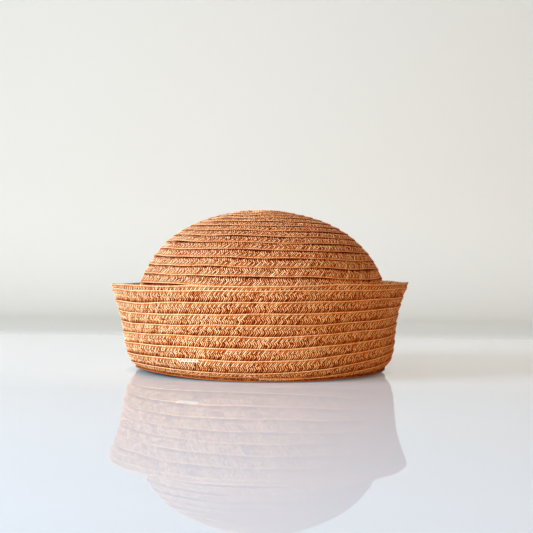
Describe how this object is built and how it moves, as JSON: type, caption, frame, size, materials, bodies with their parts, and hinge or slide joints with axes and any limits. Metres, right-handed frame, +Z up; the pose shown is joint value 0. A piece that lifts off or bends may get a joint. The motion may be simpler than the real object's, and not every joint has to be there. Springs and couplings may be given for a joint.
{
  "type": "straw sailor hat",
  "caption": "Straw hat with a domed crown and a turned-up flaring brim, sewn from spiral rows of lapped plaited braid, with a ribbon sweatband inside.",
  "frame": {"origin": "middle of the base, on the surface that the hat stands on", "axes": "+Z up through the tip of the crown, -Y towards the front, +X to the right as seen from the front"},
  "size_m": [0.2275, 0.2379, 0.1242],
  "materials": {
    "straw_braid": "plaited natural straw, softly glossy",
    "headline_straw": "folded plaited straw, softly glossy",
    "grosgrain_ribbon": "ribbed matt ribbon",
    "sewing_thread": "matt cotton thread",
    "mending_cotton": "matt white cotton thread"
  },
  "bodies": {
    "root": {"crown_braid": "straw_braid", "brim_braid": "straw_braid", "headline_braid": "headline_straw", "sweatband": "grosgrain_ribbon", "crown_lap_thread": "sewing_thread", "brim_lap_thread": "sewing_thread", "headline_thread": "sewing_thread", "sweatband_thread": "sewing_thread", "mending_thread": "mending_cotton"}
  },
  "joints": []
}
